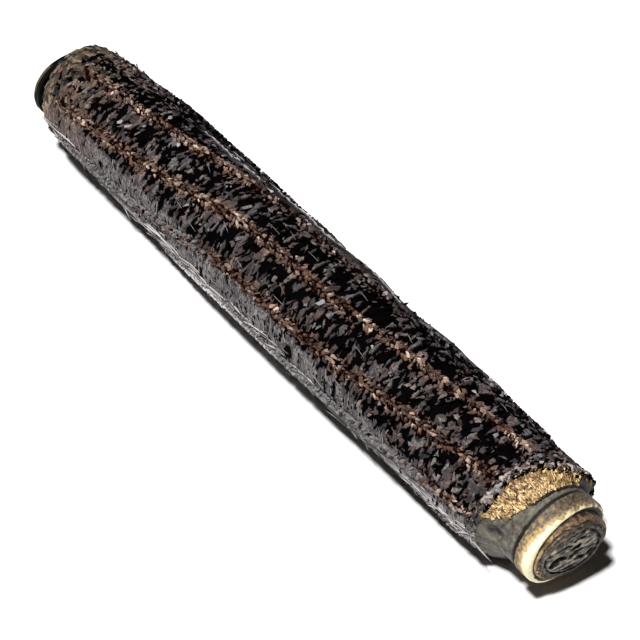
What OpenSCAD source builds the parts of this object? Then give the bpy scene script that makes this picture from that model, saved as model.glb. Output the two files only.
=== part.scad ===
// Ink stick: a rolled ink bar in a sleeve, bound in a ribbed cover of strips and braided seam cords.
// The stick lies along X with its layered near end towards +X, and rests on z = 0.

/* [Ink bar] */
// Diameter of the ink core
core_diameter = 8.6; // [6:0.1:12]
// Wall of the inner wrap rolled round the core
inner_wrap_wall = 0.85; // [0.4:0.05:2]
// Wall of the outer wrap rolled round the inner one
outer_wrap_wall = 0.8; // [0.4:0.05:2]
// How far the core stands past the inner wrap at the near end
core_step = 0.9; // [0.2:0.1:2]
// How far the inner wrap stands past the outer one
inner_wrap_step = 0.7; // [0.2:0.1:2]
// How far the outer wrap stands past the head ring
outer_wrap_step = 0.7; // [0.2:0.1:2]
// How deep the ink bar sits inside the far rim
far_recess = 0.4; // [0.1:0.1:1]
// Small chamfer on the edges of the ink bar and the far rim
edge_chamfer = 0.2; // [0.1:0.05:0.35]

/* [Near end] */
// Length of the head ring
head_ring_length = 2.8; // [2:0.1:8]
// Wall of the head ring
head_ring_wall = 0.85; // [0.6:0.05:2]
// Size of the rounded front lip of the head ring
head_lip = 0.45; // [0.2:0.05:0.5]
// Width of the groove behind the head ring
groove_width = 0.5; // [0.3:0.1:2]
// Length of the bare neck between the band and the groove
neck_length = 2.1; // [1:0.1:8]
// Wall of the neck sleeve
sleeve_wall = 0.65; // [0.3:0.05:1.5]
// Length of the fibrous band past the cover
near_band_length = 4.2; // [2:0.1:10]
// Wall of the fibrous band where it runs out on the neck
near_band_edge = 0.5; // [0.3:0.05:1]

/* [Cover] */
// Length of the strips and seam cords
cover_length = 109; // [60:1:200]
// Wall of the lining at the ends of the cover
lining_wall = 0.6; // [0.5:0.05:3]
// How much thicker the lining is in the middle
belly_rise = 0.6; // [0.2:0.1:1.5]
// Thickness of a strip in the middle of its width
strip_thickness = 1.4; // [0.8:0.1:2.4]
// How much thinner a strip is along its edges
strip_edge_drop = 0.15; // [0:0.05:0.4]
// Height of a seam cord over the lining
cord_height = 2; // [1.2:0.1:3]
// Width of a seam cord
cord_width = 1.6; // [1:0.1:2.6]
// Turn of the seams from the far end to the near end, in degrees
cover_twist = 77; // [0:1:140]
// Place of the second seam at the far end, in degrees from the top
seam_start = 62; // [0:1:90]
// Extra turn where the seams were pulled over, in degrees
pull_turn = 10; // [0:1:20]
// Place of that pull, measured from the far end of the cover
pull_place = 48; // [20:1:80]
// Half length of that pull
pull_length = 14; // [8:1:30]

/* [Far end] */
// Length of the rounded far band
far_band_length = 4; // [2:0.1:10]
// Wall of the far band at its outer edge
far_band_edge = 1; // [0.5:0.05:1.3]
// Width of the gap between the far band and the rim
far_gap = 0.6; // [0.3:0.1:2]
// Length of the far rim
far_rim_length = 1.4; // [0.8:0.1:4]
// Wall of the far rim
far_rim_wall = 1.3; // [0.8:0.05:2]

/* [Fit] */
// Clearance between nested pieces, and between pieces end to end
fit_clearance = 0.05; // [0.04:0.01:0.1]
// Clearance between a seam cord and the strips beside it
seam_clearance = 0.05; // [0.03:0.01:0.15]
// How much of the underside is pressed flat where the stick lies
rest_flat = 0.45; // [0.1:0.05:0.6]

/* [Hidden] */

// The cover's eight seams, evenly spaced
seam_count = 8;
seam_pitch = 360 / seam_count;

// Radii, from the core outwards
core_r = core_diameter / 2;
inner_wrap_bore = core_r + fit_clearance;
inner_wrap_r = inner_wrap_bore + inner_wrap_wall;
outer_wrap_bore = inner_wrap_r + fit_clearance;
outer_wrap_r = outer_wrap_bore + outer_wrap_wall;
sleeve_bore = outer_wrap_r + fit_clearance;
sleeve_r = sleeve_bore + sleeve_wall;
head_ring_r = sleeve_bore + head_ring_wall;
far_rim_r = sleeve_bore + far_rim_wall;
band_bore = sleeve_r + fit_clearance;
lining_end_r = band_bore + lining_wall;
lining_mid_r = lining_end_r + belly_rise;
strip_end_r = lining_end_r + fit_clearance + strip_thickness;
stick_r = lining_mid_r + fit_clearance + cord_height;
near_band_edge_r = band_bore + near_band_edge;
far_band_edge_r = band_bore + far_band_edge;

// Stations along the stick, from the far face to the near face
stick_length = far_rim_length + far_gap + far_band_length + cover_length + near_band_length + neck_length
    + groove_width + head_ring_length + outer_wrap_step + inner_wrap_step + core_step;
x_far = -stick_length / 2;
x_far_rim_end = x_far + far_rim_length;
x_far_band = x_far_rim_end + far_gap;
x_cover = x_far_band + far_band_length;
x_cover_end = x_cover + cover_length;
x_band_end = x_cover_end + near_band_length;
x_neck_end = x_band_end + neck_length;
x_ring = x_neck_end + groove_width;
x_ring_end = x_ring + head_ring_length;
x_outer_wrap_end = x_ring_end + outer_wrap_step;
x_inner_wrap_end = x_outer_wrap_end + inner_wrap_step;
x_core_end = x_inner_wrap_end + core_step;
x_ink_far = x_far + far_recess;
x_mid = (x_cover + x_cover_end) / 2;

// Height of the stick's axis over the surface that it lies on
axis_z = stick_r - rest_flat;

// Rings along the cover, and points across its sections
cover_steps = 28;
strip_steps = 6;
cord_sides = 8;
band_steps = 6;
round_sides = 96;

function cover_x(i) = x_cover + cover_length * i / cover_steps;
function belly(x) = belly_rise * (1 - pow(2 * (x - x_mid) / cover_length, 2));
function lining_r(x) = lining_end_r + belly(x);
function pull(x) = pull_turn * exp(-pow((x - x_cover - pull_place) / pull_length, 2));
function seam_turn(x) = seam_start - cover_twist * (x - x_cover) / cover_length - pull(x);
function seam_angle(k, x) = seam_turn(x) + seam_pitch * (k - 2);

// A point at a station, a radius and an angle from the top towards the front, pressed flat on the surface
function on_stick(x, r, angle) = [x, -r * sin(angle), max(0, axis_z + r * cos(angle))];

// Half the angle that a strip takes up between its two seam cords
function cord_mid_r(x) = lining_r(x) + fit_clearance + cord_height / 2;
function strip_half(x) = seam_pitch / 2 - asin((cord_width / 2 + seam_clearance) / cord_mid_r(x));

// One section of a strip: the outer side from edge to edge, then the inner side back again
function strip_outer_r(x, u) = lining_r(x) + fit_clearance + strip_thickness - strip_edge_drop * u * u;
function strip_section(k, x) =
    let (mid = seam_angle(k, x) + seam_pitch / 2, half = strip_half(x))
    concat(
        [for (j = [0 : strip_steps])
            let (u = 2 * j / strip_steps - 1)
            on_stick(x, strip_outer_r(x, u), mid + u * half)],
        [for (j = [strip_steps : -1 : 0])
            let (u = 2 * j / strip_steps - 1)
            on_stick(x, lining_r(x) + fit_clearance, mid + u * half)]
    );

// One section of a seam cord: an oval that stands on the lining
function cord_section(k, x) =
    let (angle = seam_angle(k, x), r_mid = cord_mid_r(x))
    [for (j = [0 : cord_sides - 1])
        let (
            turn = 360 * j / cord_sides,
            rise = r_mid + cord_height / 2 * cos(turn),
            side = cord_width / 2 * sin(turn)
        )
        on_stick(x, norm([rise, side]), angle + atan2(side, rise))];

// Skins a row of sections that all have the same number of points
module skin(sections) {
    count = len(sections[0]);
    last = len(sections) - 1;
    sides = [for (i = [0 : last - 1]) for (j = [0 : count - 1])
        let (a = i * count + j, b = i * count + (j + 1) % count)
        each [[a, b, b + count], [a, b + count, a + count]]];
    caps = concat(
        [for (j = [1 : count - 2]) [0, j + 1, j]],
        [for (j = [1 : count - 2])
            let (end = last * count)
            [end, end + j, end + j + 1]]
    );
    polyhedron([for (section = sections) each section], concat(sides, caps));
}

// Turns an outline of [radius, station] points round the stick's axis
module lathe(outline) {
    translate([0, 0, axis_z])
        rotate([0, 90, 0])
            rotate_extrude($fn = round_sides)
                polygon(outline);
}

// A tube along the axis with small chamfers on its outer edges
module tube(bore, r, x_start, x_end) {
    lathe([
        [bore, x_start],
        [r - edge_chamfer, x_start],
        [r, x_start + edge_chamfer],
        [r, x_end - edge_chamfer],
        [r - edge_chamfer, x_end],
        [bore, x_end]
    ]);
}

module ink_core() {
    color("#2f2b29")
        tube(0, core_r, x_ink_far, x_core_end);
}

module inner_ink_wrap() {
    color("#8a7d6c")
        tube(inner_wrap_bore, inner_wrap_r, x_ink_far, x_inner_wrap_end);
}

module outer_ink_wrap() {
    color("#6e5a45")
        tube(outer_wrap_bore, outer_wrap_r, x_ink_far, x_outer_wrap_end);
}

module neck_sleeve() {
    color("#6b665d")
        lathe([
            [sleeve_bore, x_far_rim_end + fit_clearance],
            [sleeve_r, x_far_rim_end + fit_clearance],
            [sleeve_r, x_neck_end],
            [sleeve_bore, x_neck_end]
        ]);
}

// The front lip is a quarter round, which shows as the cream edge
module head_ring() {
    lip = [for (i = [0 : band_steps])
        let (turn = 90 * i / band_steps)
        [head_ring_r - head_lip + head_lip * cos(turn), x_ring_end - head_lip + head_lip * sin(turn)]];
    color("#d8c294")
        lathe(concat([[sleeve_bore, x_ring_end], [sleeve_bore, x_ring], [head_ring_r, x_ring]], lip));
}

// A band that rounds off from the height of the strips down to its thin edge
module band(edge_r, x_seat, x_edge) {
    shoulder = [for (i = [0 : band_steps])
        let (turn = 90 * i / band_steps)
        [
            edge_r + (strip_end_r - edge_r) * cos(turn),
            x_seat + (x_edge - x_seat) * sin(turn)
        ]];
    lathe(concat([[band_bore, x_seat]], shoulder, [[band_bore, x_edge]]));
}

module near_band() {
    color("#c8a564")
        band(near_band_edge_r, x_cover_end + fit_clearance, x_band_end);
}

module far_band() {
    color("#786955")
        band(far_band_edge_r, x_cover - fit_clearance, x_far_band);
}

module cover_lining() {
    color("#4a4038")
        lathe(concat(
            [[band_bore, x_cover_end], [band_bore, x_cover]],
            [for (i = [0 : cover_steps]) [lining_r(cover_x(i)), cover_x(i)]]
        ));
}

module far_rim() {
    color("#231f1e")
        tube(sleeve_bore, far_rim_r, x_far, x_far_rim_end);
}

module cover_strip(k) {
    color("#1c181b")
        skin([for (i = [0 : cover_steps]) strip_section(k, cover_x(i))]);
}

module seam_cord(k) {
    color("#966e55")
        skin([for (i = [0 : cover_steps]) cord_section(k, cover_x(i))]);
}

ink_core();
inner_ink_wrap();
outer_ink_wrap();
neck_sleeve();
head_ring();
near_band();
cover_lining();
far_band();
far_rim();
cover_strip(1);  // cover_strip_1
cover_strip(2);  // cover_strip_2
cover_strip(3);  // cover_strip_3
cover_strip(4);  // cover_strip_4
cover_strip(5);  // cover_strip_5
cover_strip(6);  // cover_strip_6
cover_strip(7);  // cover_strip_7
cover_strip(8);  // cover_strip_8
seam_cord(1);  // seam_cord_1
seam_cord(2);  // seam_cord_2
seam_cord(3);  // seam_cord_3
seam_cord(4);  // seam_cord_4
seam_cord(5);  // seam_cord_5
seam_cord(6);  // seam_cord_6
seam_cord(7);  // seam_cord_7
seam_cord(8);  // seam_cord_8
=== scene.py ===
# %% [markdown]
# # An ink stick in a ribbed cover
# The stick is a rolled ink bar in a bound cover: dark flaking strips, eight braided seams, a golden band,
# a grey neck and a layered end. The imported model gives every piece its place, so the first step loads it
# and keeps its box. All the pieces made below stay inside that box.

import math
import random

import bmesh
import bpy
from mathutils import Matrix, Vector, noise


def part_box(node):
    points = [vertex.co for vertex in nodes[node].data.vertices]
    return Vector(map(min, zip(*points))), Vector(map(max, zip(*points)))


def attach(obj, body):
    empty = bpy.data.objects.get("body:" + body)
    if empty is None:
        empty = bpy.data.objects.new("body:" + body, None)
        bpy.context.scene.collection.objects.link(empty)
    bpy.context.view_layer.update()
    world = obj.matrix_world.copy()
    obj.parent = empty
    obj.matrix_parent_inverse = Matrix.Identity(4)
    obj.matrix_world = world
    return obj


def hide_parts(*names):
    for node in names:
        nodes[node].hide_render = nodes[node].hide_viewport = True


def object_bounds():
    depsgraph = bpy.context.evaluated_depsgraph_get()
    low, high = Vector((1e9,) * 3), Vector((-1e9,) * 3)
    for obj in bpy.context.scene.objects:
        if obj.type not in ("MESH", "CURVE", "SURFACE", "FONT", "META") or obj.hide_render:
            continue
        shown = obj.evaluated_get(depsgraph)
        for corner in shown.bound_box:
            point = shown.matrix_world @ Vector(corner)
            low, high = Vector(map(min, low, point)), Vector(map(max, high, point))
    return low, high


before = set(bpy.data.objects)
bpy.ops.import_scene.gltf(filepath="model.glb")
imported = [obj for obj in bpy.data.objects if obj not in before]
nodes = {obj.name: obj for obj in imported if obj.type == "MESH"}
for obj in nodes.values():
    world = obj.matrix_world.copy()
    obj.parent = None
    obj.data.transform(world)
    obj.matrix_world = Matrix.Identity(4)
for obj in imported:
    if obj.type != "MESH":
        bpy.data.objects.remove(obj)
cad_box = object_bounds()
print("nodes:", len(nodes), "box:", [round(c, 4) for corner in cad_box for c in corner])

# %% [markdown]
# The stick lies along X, so a piece is easiest to describe by a station x, a radius from the axis and an
# angle from the top towards the front. The stations and radii are read from the boxes of the packed
# pieces. Only the turn of the seams can't be read from a box, so its few values are repeated here.

# %% Stations and radii from the frame
mm = 0.001


def radius_of(node):
    low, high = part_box(node)
    return (high.y - low.y) / 2


axis_z = sum(corner.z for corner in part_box("ink_core")) / 2
x_far, x_far_rim_end = (corner.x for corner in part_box("far_rim"))
x_cover, x_cover_end = (corner.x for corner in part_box("cover_lining"))
x_neck_start, x_neck_end = (corner.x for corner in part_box("neck_sleeve"))
x_ring, x_ring_end = (corner.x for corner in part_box("head_ring"))
x_ink_far, x_core_end = (corner.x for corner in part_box("ink_core"))
x_inner_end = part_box("inner_ink_wrap")[1].x
x_outer_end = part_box("outer_ink_wrap")[1].x
x_band_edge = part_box("near_band")[1].x
core_r = radius_of("ink_core")
inner_r = radius_of("inner_ink_wrap")
outer_r = radius_of("outer_ink_wrap")
sleeve_r = radius_of("neck_sleeve")
ring_r = radius_of("head_ring")
band_r = radius_of("near_band")
lining_mid_r = radius_of("cover_lining")
cover_length = x_cover_end - x_cover
x_mid = (x_cover + x_cover_end) / 2
print("axis height", round(axis_z / mm, 2), "mm, cover", round(cover_length / mm, 1), "mm long")

# %% The cover's section and the turn of its seams
fit = 0.05 * mm
strip_thickness = 1.4 * mm
cord_height = 2.0 * mm
cord_width = 1.6 * mm
seam_count = 8
seam_pitch = math.tau / seam_count
seam_start = math.radians(62)
cover_twist = math.radians(77)
pull_turn = math.radians(10)
pull_place = 48 * mm
pull_length = 14 * mm
lining_end_r = band_r - fit - strip_thickness
belly_rise = lining_mid_r - lining_end_r


def lining_at(x):
    return lining_end_r + belly_rise * (1 - (2 * (x - x_mid) / cover_length) ** 2)


def seam_angle(k, x):
    along = x - x_cover
    pull = pull_turn * math.exp(-(((along - pull_place) / pull_length) ** 2))
    return seam_start - cover_twist * along / cover_length - pull + seam_pitch * (k - 2)


def strip_half(x):
    cord_mid_r = lining_at(x) + fit + cord_height / 2
    return seam_pitch / 2 - math.asin((cord_width / 2 + fit) / cord_mid_r)


print("seam 2 turns from", round(math.degrees(seam_angle(2, x_cover))),
      "to", round(math.degrees(seam_angle(2, x_cover_end))), "degrees")


# %% [markdown]
# A few small helpers carry a place on the stick to Blender's coordinates and back, and keep it inside the
# box. Lines that wander round the stick are short tables of a value by angle in degrees, read with straight
# steps between the entries. A fade is a soft step from 0 at its first mark to 1 at its second.

# %% Places on the stick
def kept(place):
    return Vector(min(max(c, low), high) for c, low, high in zip(place, *cad_box))


def on_stick(x, r, angle):
    return kept((x, -r * math.sin(angle), axis_z + r * math.cos(angle)))


def polar(place):
    across, up = -place.y, place.z - axis_z
    return place.x, math.hypot(across, up), math.atan2(across, up)


def directions_at(angle):
    outward = Vector((0.0, -math.sin(angle), math.cos(angle)))
    round_way = Vector((0.0, -math.cos(angle), -math.sin(angle)))
    return outward, round_way


def slanted(round_way, slant):
    return round_way * math.cos(slant) + Vector((math.sin(slant), 0, 0))


def turn_of(angle):
    return math.degrees(angle + math.pi) % 360 - 180


lining_top = on_stick(x_mid, lining_mid_r, 0.0)
print("top of the lining, mid-length:", [round(c / mm, 1) for c in lining_top], "mm")


# %% Tables, fades and uneven places
def read_table(table, place):
    if place <= table[0][0]:
        return table[0][1]
    for (place_a, value_a), (place_b, value_b) in zip(table, table[1:]):
        if place <= place_b:
            return value_a + (value_b - value_a) * (place - place_a) / (place_b - place_a)
    return table[-1][1]


def from_table(table, angle):
    return read_table(table, turn_of(angle)) * mm


def fade(value, none, full):
    share = min(1.0, max(0.0, (value - none) / (full - none)))
    return share * share * (3 - 2 * share)


def wobble(place, size):
    return noise.noise(Vector(place) / size)


def stretched_noise(x, round_by, stretch):
    along, across, layer = stretch
    return noise.noise(Vector((x / (along * mm), round_by / (across * mm), layer)))


print("half of a fade gives", fade(0.5, 0, 1), "and a quarter gives", fade(0.25, 0, 1))

# %% [markdown]
# A wrapped stick is never a true cylinder. A short list of soft swellings makes this one a little fuller on
# its far side and slimmer at the far end, where the photograph shows it. Each is a place along the stick,
# an angle, a rise, and how far it reaches along and round.

# %% Swellings of the cover
swellings = (
    (-58, -45, -0.90, 6, 60),
    (-48, -62, -0.45, 4, 40),
    (-38, -62, 0.55, 7, 30),
    (-5, -62, 0.50, 4, 28),
    (8, -62, 0.65, 5, 28),
    (26, -62, 0.75, 6, 28),
    (36, -62, 0.60, 5, 28),
    (50, -62, 0.40, 7, 40),
)


def swell(x, angle):
    rise = 0.0
    for place, turn, height, reach, breadth in swellings:
        round_by = (math.degrees(angle) - turn + 180) % 360 - 180
        rise += height * math.exp(-((x / mm - place) / reach) ** 2 - (round_by / breadth) ** 2)
    return rise * mm


print("swelling at the far side, mid-length:", round(swell(8 * mm, math.radians(-62)) / mm, 2), "mm")

# %% [markdown]
# The camera comes first, because every detail is judged through it. The photograph looks down on the near
# end of the stick from a short way off, so a long lens at about 35 cm gives the same narrowing towards the
# far end. Its angles were found by fitting a pinhole camera to the stick's outline.

# %% Camera
photo_azimuth = math.radians(52.2)
photo_elevation = math.radians(47.5)
photo_distance = 350 * mm
photo_target = Vector((5.15 * mm, 0.0, 7.8 * mm))
photo_lens = 128.6


def direction(azimuth, elevation):
    flat = math.cos(elevation)
    return Vector((math.sin(azimuth) * flat, -math.cos(azimuth) * flat, math.sin(elevation)))


towards_camera = direction(photo_azimuth, photo_elevation)
camera = bpy.data.objects.new("photo_camera", bpy.data.cameras.new("photo_camera"))
camera.data.lens = photo_lens
camera.data.clip_start = 10 * mm
camera.location = photo_target + towards_camera * photo_distance
camera.rotation_euler = (-towards_camera).to_track_quat("-Z", "Y").to_euler()
bpy.context.scene.collection.objects.link(camera)
bpy.context.scene.camera = camera
print("camera at", [round(c / mm) for c in camera.location], "mm")

# %% [markdown]
# The shadow in the photograph is narrow and lies close under the stick, so the main light stands almost
# overhead and is not very large. The white table throws much of it back up on the lower strips. The sky is
# only a weak fill, which keeps the gaps between the flakes dark.

# %% World and light
world = bpy.data.worlds.new("studio")
bpy.context.scene.world = world
world.use_nodes = True
sky = world.node_tree.nodes["Background"]
sky.inputs["Color"].default_value = (0.95, 0.97, 1.0, 1.0)
sky.inputs["Strength"].default_value = 0.008
bpy.context.scene.view_settings.view_transform = "Standard"

light_distance = 0.9
towards_light = direction(math.radians(16), math.radians(72))
lamp = bpy.data.lights.new("overhead", "AREA")
lamp.size = 0.10
lamp.energy = 13.5
light = bpy.data.objects.new("overhead", lamp)
light.location = towards_light * light_distance
light.rotation_euler = (-towards_light).to_track_quat("-Z", "Y").to_euler()
bpy.context.scene.collection.objects.link(light)
print("light:", light.name, "at", [round(c, 2) for c in light.location], "m")

# %% Table
table_half = 2.0
table_drop = 0.02 * mm
table_mesh = bmesh.new()
bmesh.ops.create_grid(table_mesh, x_segments=1, y_segments=1, size=table_half)
table_data = bpy.data.meshes.new("table")
table_mesh.to_mesh(table_data)
table_mesh.free()
table = bpy.data.objects.new("table", table_data)
table.location.z = -table_drop
bpy.context.scene.collection.objects.link(table)
print("table:", 2 * table_half, "m wide")

# %% [markdown]
# ## Shared effects
# Flakes, stitches and fibres all vary in the same way: each one has its own tone, and a fine speckle lies
# over it. So one node group turns a tone into a colour between a dark, a middle and a light one, and a
# second group gives a fine crinkled height for the bump. Each material places them with its own values.

# %% Helpers for node trees
def new_group(name, inputs, output, output_kind):
    group = bpy.data.node_groups.new(name, "ShaderNodeTree")
    for label, kind, value in inputs:
        socket = group.interface.new_socket(label, in_out="INPUT", socket_type=kind)
        socket.default_value = value
    group.interface.new_socket(output, in_out="OUTPUT", socket_type=output_kind)
    return group, group.nodes.new("NodeGroupInput"), group.nodes.new("NodeGroupOutput")


def fill_socket(tree, socket, value):
    if isinstance(value, bpy.types.NodeSocket):
        tree.links.new(value, socket)
    else:
        socket.default_value = value


def number_node(tree, operation, *values, clamp=False):
    node = tree.nodes.new("ShaderNodeMath")
    node.operation = operation
    node.use_clamp = clamp
    for socket, value in zip(node.inputs, values):
        fill_socket(tree, socket, value)
    return node.outputs[0]


def colour_mix(tree, factor, first, second):
    node = tree.nodes.new("ShaderNodeMix")
    node.data_type = "RGBA"
    for label, value in (("Factor_Float", factor), ("A_Color", first), ("B_Color", second)):
        socket = next(s for s in node.inputs if s.identifier == label)
        fill_socket(tree, socket, value)
    return next(s for s in node.outputs if s.identifier == "Result_Color")


def noise_node(tree, vector, scale, detail, roughness=0.6):
    node = tree.nodes.new("ShaderNodeTexNoise")
    node.inputs["Detail"].default_value = detail
    node.inputs["Roughness"].default_value = roughness
    fill_socket(tree, node.inputs["Vector"], vector)
    fill_socket(tree, node.inputs["Scale"], scale)
    return node.outputs["Fac"]


# %% [markdown]
# The speckle is strong on dark flakes and fades out on light ones, because worn, pale hide is smooth. The
# tone then picks the colour in two mixes: dark to middle for its lower half, middle to light for its upper.

# %% Group that turns a tone into a colour
levels = ("Dark", "Middle", "Light")
speckle_slope = -1.4
speckle_start = 1.25


def make_tone_group():
    white = (1.0, 1.0, 1.0, 1.0)
    colour_names = [f"{side} {level}" for side in ("Cool", "Warm") for level in levels]
    group, given, out = new_group(
        "tone_to_colour",
        [
            ("Tone", "NodeSocketFloat", 0.5),
            ("Warmth", "NodeSocketFloat", 0.0),
            *((name, "NodeSocketColor", white) for name in colour_names),
            ("Speckle Scale", "NodeSocketFloat", 2000.0),
            ("Speckle", "NodeSocketFloat", 0.3),
        ],
        "Color",
        "NodeSocketColor",
    )
    values = given.outputs
    place = group.nodes.new("ShaderNodeTexCoord").outputs["Object"]
    speckle = noise_node(group, place, values["Speckle Scale"], detail=2.0)
    centred = number_node(group, "SUBTRACT", speckle, 0.5)
    paler_by = number_node(group, "MULTIPLY_ADD", values["Tone"], speckle_slope, speckle_start, clamp=True)
    amount = number_node(group, "MULTIPLY", values["Speckle"], paler_by)
    tone = number_node(group, "MULTIPLY_ADD", centred, amount, values["Tone"], clamp=True)
    low_half = number_node(group, "MULTIPLY", tone, 2.0, clamp=True)
    high_half = number_node(group, "MULTIPLY_ADD", tone, 2.0, -1.0, clamp=True)
    dark, middle, light = (
        colour_mix(group, values["Warmth"], values[f"Cool {level}"], values[f"Warm {level}"])
        for level in levels
    )
    lower = colour_mix(group, low_half, dark, middle)
    group.links.new(colour_mix(group, high_half, lower, light), out.inputs["Color"])
    return group


tone_group = make_tone_group()
print("group", tone_group.name, "has", len(tone_group.nodes), "nodes")

# %% Group that gives a fine crinkled height
crack_width = 0.08


def make_crinkle_group():
    group, given, out = new_group(
        "crinkle_height",
        [
            ("Scale", "NodeSocketFloat", 1500.0),
            ("Cracks", "NodeSocketFloat", 0.5),
        ],
        "Height",
        "NodeSocketFloat",
    )
    place = group.nodes.new("ShaderNodeTexCoord").outputs["Object"]
    fine = noise_node(group, place, given.outputs["Scale"], detail=3.0, roughness=0.65)
    valley = number_node(group, "ABSOLUTE", number_node(group, "SUBTRACT", fine, 0.5))
    cracks = number_node(group, "MINIMUM", valley, crack_width)
    height = number_node(group, "MULTIPLY_ADD", cracks, given.outputs["Cracks"], fine)
    group.links.new(height, out.inputs["Height"])
    return group


crinkle_group = make_crinkle_group()
print("group", crinkle_group.name, "has", len(crinkle_group.nodes), "nodes")


# %% [markdown]
# ## Materials
# Every finish here is rough and uneven, so they share one recipe. The tone attribute of a piece picks a
# colour from its cool set of three, and the warm attribute blends that towards a warm set: tan on the
# seams, gold on the band, cream on the lip. A bump gives the grain, and roughness follows the grain.

# %% The recipe for a finish
bump_height = 0.1 * mm


def attribute_value(tree, name):
    node = tree.nodes.new("ShaderNodeAttribute")
    node.attribute_name = name
    return node.outputs["Fac"]


def add_tone_colour(tree, cool, warm, speckle):
    node = tree.nodes.new("ShaderNodeGroup")
    node.node_tree = tone_group
    tree.links.new(attribute_value(tree, "tone"), node.inputs["Tone"])
    tree.links.new(attribute_value(tree, "warm"), node.inputs["Warmth"])
    for side, colours in (("Cool", cool), ("Warm", warm)):
        for level, value in zip(levels, colours):
            node.inputs[f"{side} {level}"].default_value = (*value, 1.0)
    node.inputs["Speckle Scale"].default_value, node.inputs["Speckle"].default_value = speckle
    return node.outputs["Color"]


def make_finish(name, cool, warm, speckle=(2200.0, 0.8), rough=(0.55, 0.8), shine=0.4):
    material = bpy.data.materials.new(name)
    material.use_nodes = True
    tree = material.node_tree
    shader = tree.nodes["Principled BSDF"]
    shader.inputs["Specular IOR Level"].default_value = shine
    tree.links.new(add_tone_colour(tree, cool, warm, speckle), shader.inputs["Base Color"])
    crinkle = tree.nodes.new("ShaderNodeGroup")
    crinkle.node_tree = crinkle_group
    crinkle.inputs["Scale"].default_value = 1800.0
    crinkle.inputs["Cracks"].default_value = 2.0
    bump = tree.nodes.new("ShaderNodeBump")
    bump.inputs["Strength"].default_value = 0.35
    bump.inputs["Distance"].default_value = bump_height
    tree.links.new(crinkle.outputs["Height"], bump.inputs["Height"])
    tree.links.new(bump.outputs["Normal"], shader.inputs["Normal"])
    spread = tree.nodes.new("ShaderNodeMapRange")
    spread.inputs["To Min"].default_value, spread.inputs["To Max"].default_value = rough
    tree.links.new(crinkle.outputs["Height"], spread.inputs["Value"])
    tree.links.new(spread.outputs["Result"], shader.inputs["Roughness"])
    return material


# %% The colour sets
hide_greys = ((0.0010, 0.0008, 0.0011), (0.060, 0.053, 0.056), (0.600, 0.570, 0.550))
rusts = ((0.012, 0.002, 0.002), (0.150, 0.062, 0.040), (0.480, 0.310, 0.220))
thread_tans = ((0.007, 0.001, 0.001), (0.165, 0.092, 0.062), (0.660, 0.460, 0.340))
golds = ((0.030, 0.011, 0.003), (0.300, 0.172, 0.060), (0.870, 0.660, 0.360))
skin_greys = ((0.004, 0.003, 0.003), (0.096, 0.082, 0.062), (0.270, 0.245, 0.200))
olive_browns = ((0.002, 0.001, 0.001), (0.072, 0.050, 0.031), (0.225, 0.172, 0.114))
ring_tans = ((0.014, 0.007, 0.004), (0.140, 0.100, 0.062), (0.640, 0.430, 0.190))
creams = ((0.550, 0.400, 0.170), (0.900, 0.780, 0.450), (0.980, 0.930, 0.680))
wrap_browns = ((0.008, 0.004, 0.003), (0.130, 0.078, 0.045), (0.520, 0.350, 0.190))
ink_greys = ((0.002, 0.002, 0.002), (0.064, 0.055, 0.042), (0.310, 0.275, 0.220))
blacks = ((0.001, 0.001, 0.001), (0.010, 0.009, 0.007), (0.300, 0.280, 0.220))
lining_browns = ((0.030, 0.024, 0.020), (0.070, 0.055, 0.045), (0.110, 0.090, 0.075))
print("each set runs over", levels)

# %% The finishes of this stick
fine_speckle = (2600.0, 0.8)
coarse_speckle = (1400.0, 1.1)
hide_finish = make_finish("flaking_hide", hide_greys, thread_tans, speckle=fine_speckle, shine=0.01)
braid_finish = make_finish("braided_thread", hide_greys, thread_tans, speckle=fine_speckle, shine=0.01)
golden_finish = make_finish("golden_fibre", skin_greys, golds, speckle=coarse_speckle, rough=(0.5, 0.8))
far_finish = make_finish("speckled_fibre", olive_browns, rusts)
neck_finish = make_finish("worn_neck_skin", skin_greys, golds, speckle=coarse_speckle, rough=(0.5, 0.8))
ring_finish = make_finish("ring_hide", ring_tans, creams, rough=(0.45, 0.75))
brown_finish = make_finish("brown_wrap", wrap_browns, golds)
pale_finish = make_finish("pale_wrap", ink_greys, wrap_browns)
ink_finish = make_finish("cracked_ink", ink_greys, wrap_browns, rough=(0.35, 0.7))
rim_finish = make_finish("dark_rim", blacks, olive_browns, shine=0.08)
lining_finish = make_finish("plain_lining", lining_browns, lining_browns)
table_finish = bpy.data.materials.new("white_table")
table_finish.use_nodes = True
table_shader = table_finish.node_tree.nodes["Principled BSDF"]
table_shader.inputs["Base Color"].default_value = (0.90, 0.90, 0.90, 1.0)
table_shader.inputs["Roughness"].default_value = 0.8
table.data.materials.append(table_finish)
print("materials, with those of the packed model:", len(bpy.data.materials))

# %% [markdown]
# ## Small repeated shapes
# A flake, a stitch and a tuft of fibre are the same kind of thing: a small pointed lump lying on a surface.
# Modelling each by hand would take weeks, and a particle system can't be exported. So one shape of a few
# faces is made, doubled until there are enough, and each copy is then laid in its place. Its tone and
# warmth are stored on its points.

# %% A plate and a lump
plate_sides = 6


def new_mesh():
    bm = bmesh.new()
    for name in ("tone", "warm"):
        bm.verts.layers.float.new(name)
    return bm


def look_layers(bm):
    layers = bm.verts.layers.float
    return layers["tone"], layers["warm"]


def add_plate(bm):
    bmesh.ops.create_cone(bm, segments=plate_sides, radius1=1.0, radius2=0.6, depth=2.0, cap_ends=True)


def add_lump(bm):
    bmesh.ops.create_icosphere(bm, subdivisions=1, radius=1.0)


# %% Making many copies of a small shape
def islands(bm):
    seen = set()
    for vert in bm.verts:
        if vert in seen:
            continue
        group = [vert]
        seen.add(vert)
        for member in group:
            for edge in member.link_edges:
                other = edge.other_vert(member)
                if other not in seen:
                    seen.add(other)
                    group.append(other)
        yield group


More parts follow.
